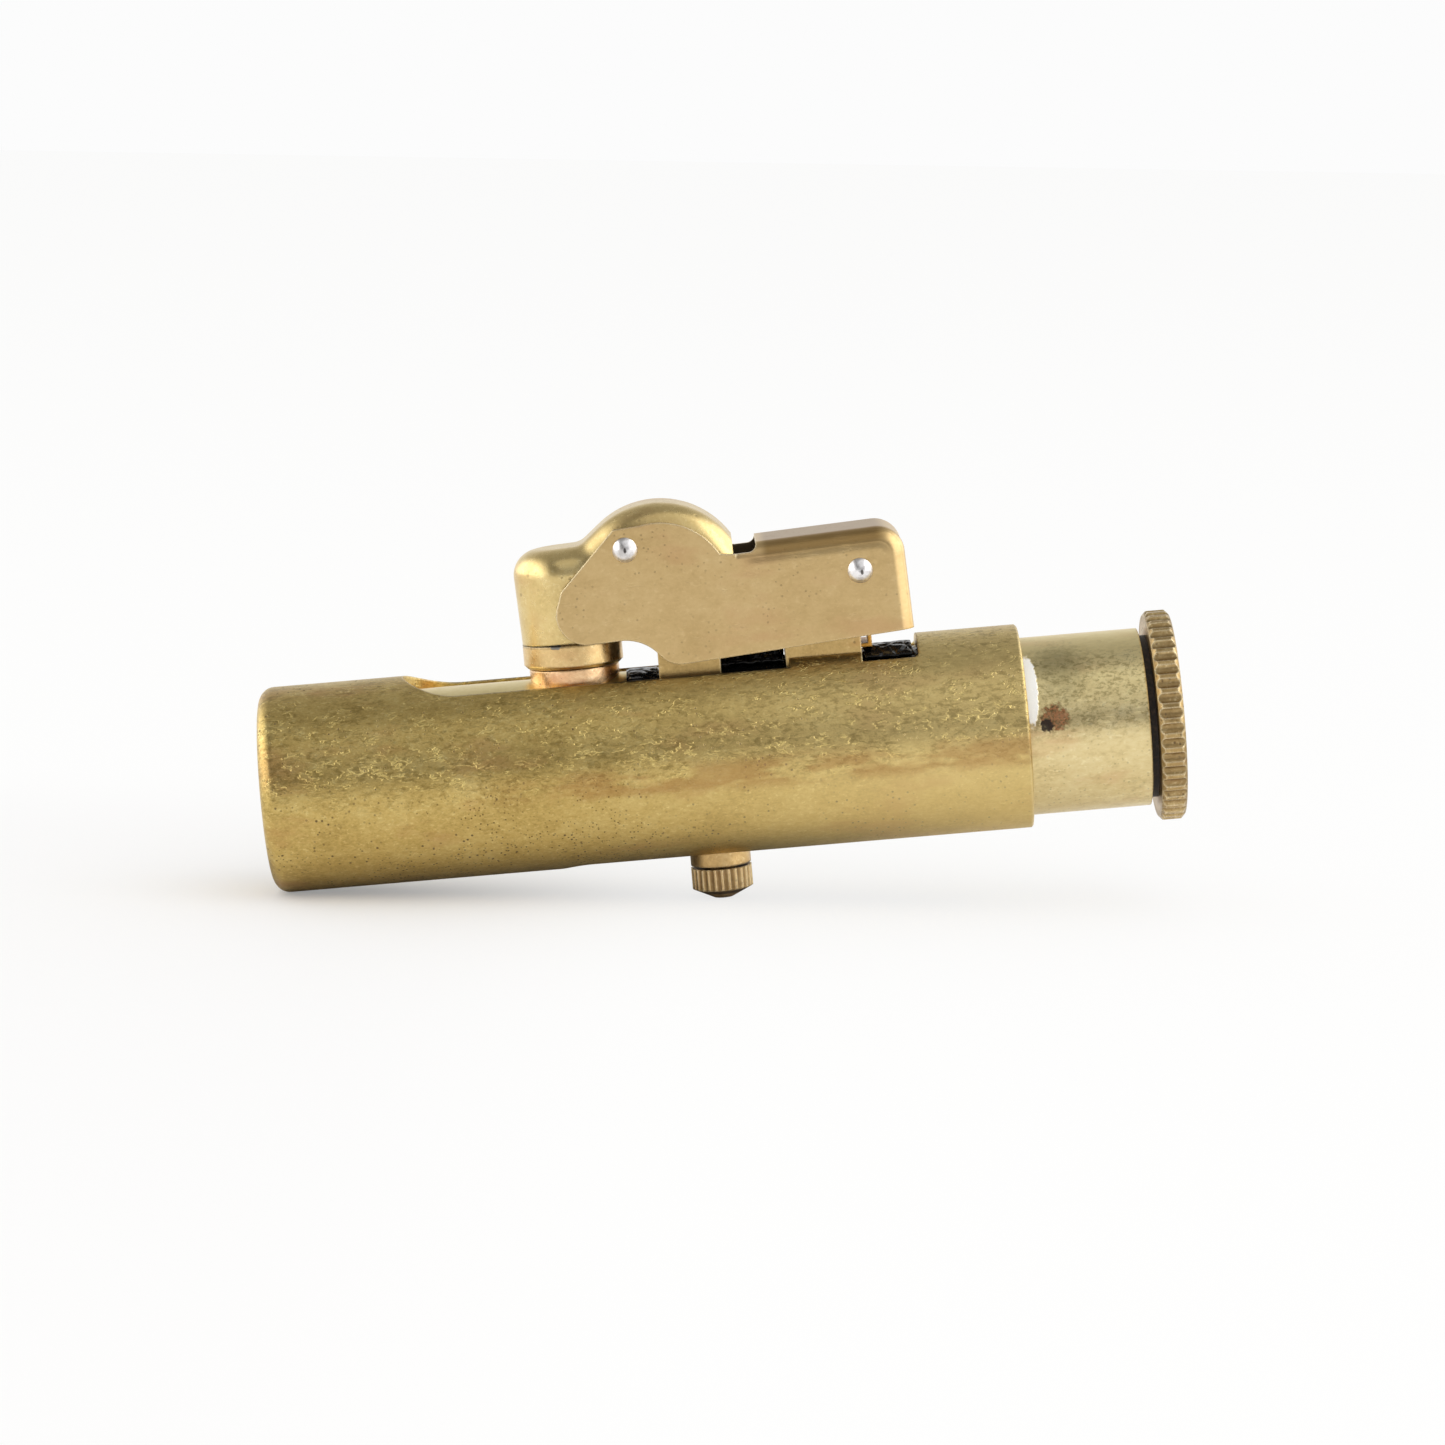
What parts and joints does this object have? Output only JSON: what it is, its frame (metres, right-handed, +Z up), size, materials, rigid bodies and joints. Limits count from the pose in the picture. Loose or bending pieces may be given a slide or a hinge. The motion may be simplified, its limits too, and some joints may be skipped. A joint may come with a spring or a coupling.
{
  "type": "pocket lighter",
  "caption": "Tubular brass pocket lighter: a fuel tank slides in a slotted case and carries a wick burner, a spark wheel and a hinged snuffer arm.",
  "frame": {"origin": "centre of the outer face of the case's closed end, on the axis of the tubes", "axes": "+X along the tubes to the filler screw, +Z up to the snuffer arm, +Y to the far side of the view"},
  "size_m": [0.0708, 0.0162, 0.0313],
  "materials": {
    "case_brass": "aged, mottled",
    "tank_brass": "worn satin",
    "arm_brass": "smooth satin",
    "hood_brass": "smooth, part polished",
    "bracket_brass": "bright",
    "knurled_brass": "aged, dull",
    "flint_brass": "satin",
    "copper": "coppery, satin",
    "spring_bronze": "satin",
    "rivet_steel": "bright",
    "tool_steel": "ground",
    "gasket_black": "matte",
    "liner_black": "glossy, wrinkled",
    "wick_cotton": "woven",
    "wadding_cotton": "loose",
    "flint_alloy": "matte"
  },
  "bodies": {
    "case": {"case_tube": "case_brass"},
    "tank": {"tank_tube": "tank_brass", "tank_end_cap": "tank_brass", "filler_bush": "tank_brass", "friction_liner": "liner_black", "cotton_wadding": "wadding_cotton", "burner_collar": "copper", "wick_tube": "bracket_brass", "wick": "wick_cotton", "flint_tube": "bracket_brass", "flint_bush": "flint_brass", "wheel_bracket": "bracket_brass", "wheel_axle": "rivet_steel", "arm_spring": "spring_bronze"},
    "arm": {"arm_lever": "arm_brass", "arm_hood": "hood_brass", "snuffer_cup": "copper", "hood_rivet": "rivet_steel", "pivot_pin": "rivet_steel", "pivot_washers": "bracket_brass", "arm_heel": "bracket_brass"},
    "wheel": {"spark_wheel": "tool_steel"},
    "filler_seal": {"filler_gasket": "gasket_black"},
    "filler": {"filler_screw": "knurled_brass"},
    "flint_feed_body": {"flint": "flint_alloy", "flint_pusher": "flint_brass"},
    "flint_carrier": {"flint_spring": "tool_steel"},
    "flint_knob": {"flint_screw": "flint_brass"}
  },
  "joints": [
    {"name": "tank_slide", "type": "slide", "parent": "case", "child": "tank", "axis": [1, 0, 0], "range_m": [-0.0092, 0]},
    {"name": "arm_lift", "type": "hinge", "parent": "tank", "child": "arm", "pos_m": [0.04718, 0, 0.01367], "axis": [0, 1, 0], "range_deg": [0, 90]},
    {"name": "wheel_spin", "type": "hinge", "parent": "tank", "child": "wheel", "pos_m": [0.03465, 0, 0.0116], "axis": [0, 1, 0], "continuous": true},
    {"name": "filler_travel", "type": "slide", "parent": "tank", "child": "filler_seal", "axis": [1, 0, 0], "range_m": [0, 0.003]},
    {"name": "filler_turn", "type": "hinge", "parent": "filler_seal", "child": "filler", "pos_m": [0.06887, 0, 0], "axis": [1, 0, 0], "range_deg": [0, 1441]},
    {"name": "flint_feed", "type": "slide", "parent": "tank", "child": "flint_feed_body", "axis": [0, 0, 1], "range_m": [-0.001, 0], "stiffness_N_per_m": 120, "springref_m": 0.004, "deforming": ["flint_spring"]},
    {"name": "flint_screw_travel", "type": "slide", "parent": "tank", "child": "flint_carrier", "axis": [0, 0, -1], "range_m": [0, 0.004]},
    {"name": "flint_screw_turn", "type": "hinge", "parent": "flint_carrier", "child": "flint_knob", "pos_m": [0.03465, 0, -0.00885], "axis": [0, 0, -1], "range_deg": [0, 2882]}
  ],
  "couplings": [
    {"joint": "filler_turn", "follows": "filler_travel", "rad_per_m": 8377.6},
    {"joint": "flint_screw_turn", "follows": "flint_screw_travel", "rad_per_m": 12566}
  ]
}
